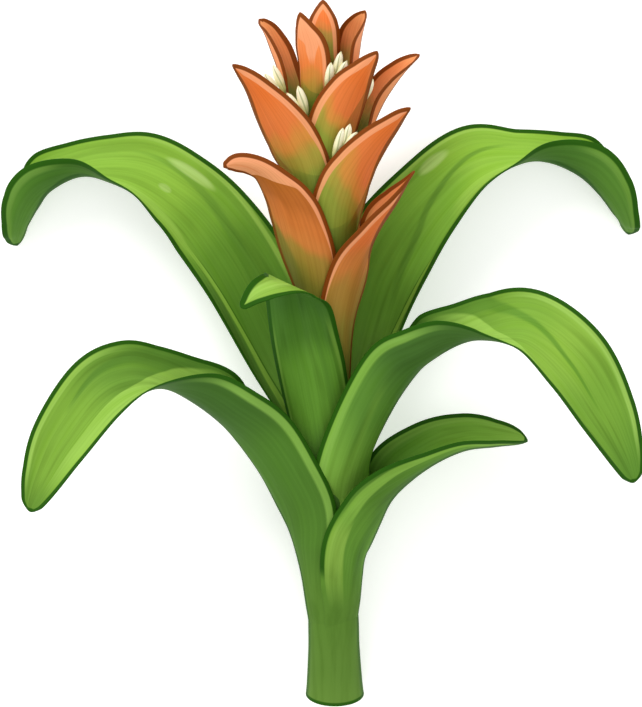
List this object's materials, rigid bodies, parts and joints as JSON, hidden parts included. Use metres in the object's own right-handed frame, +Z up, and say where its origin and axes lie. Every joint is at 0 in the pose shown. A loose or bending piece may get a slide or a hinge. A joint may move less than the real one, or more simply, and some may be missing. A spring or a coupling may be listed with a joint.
{
  "type": "guzmania",
  "caption": "Cut guzmania lying on its back: arching strap leaves round a stem, and a spike of pointed bracts with flower buds between them.",
  "frame": {"origin": "middle of the underside of the plant's bounding box, on the surface it lies on", "axes": "+Y from the stem's cut end towards the top of the flower spike, +Z up from the surface, +X to the right as seen from above with the spike away from the viewer"},
  "size_m": [0.3208, 0.3534, 0.1038],
  "materials": {
    "stem": "fresh green stem, satin",
    "leaf": "fresh strap leaf, satin, darker underneath",
    "bract": "orange bract, olive at its foot, satin",
    "flower_bud": "cream flower bud, satin"
  },
  "bodies": {
    "root": {"stem": "stem", "leaf_lower_right": "leaf", "leaf_mid_left": "leaf", "leaf_mid_right": "leaf", "leaf_centre": "leaf", "leaf_upper_left": "leaf", "leaf_upper_right": "leaf", "bract_01": "bract", "bract_02": "bract", "bract_03": "bract", "bract_04": "bract", "bract_05": "bract", "bract_06": "bract", "bract_07": "bract", "bract_08": "bract", "bract_09": "bract", "bract_10": "bract", "bract_back_1": "bract", "bract_back_2": "bract", "bract_back_3": "bract", "bract_back_4": "bract", "bract_back_5": "bract", "bract_back_6": "bract", "bract_back_7": "bract", "flowers_1": "flower_bud", "flowers_2": "flower_bud", "flowers_3": "flower_bud", "flowers_4": "flower_bud", "flowers_5": "flower_bud", "flowers_back_1": "flower_bud", "flowers_back_2": "flower_bud", "flowers_back_3": "flower_bud"}
  },
  "joints": []
}
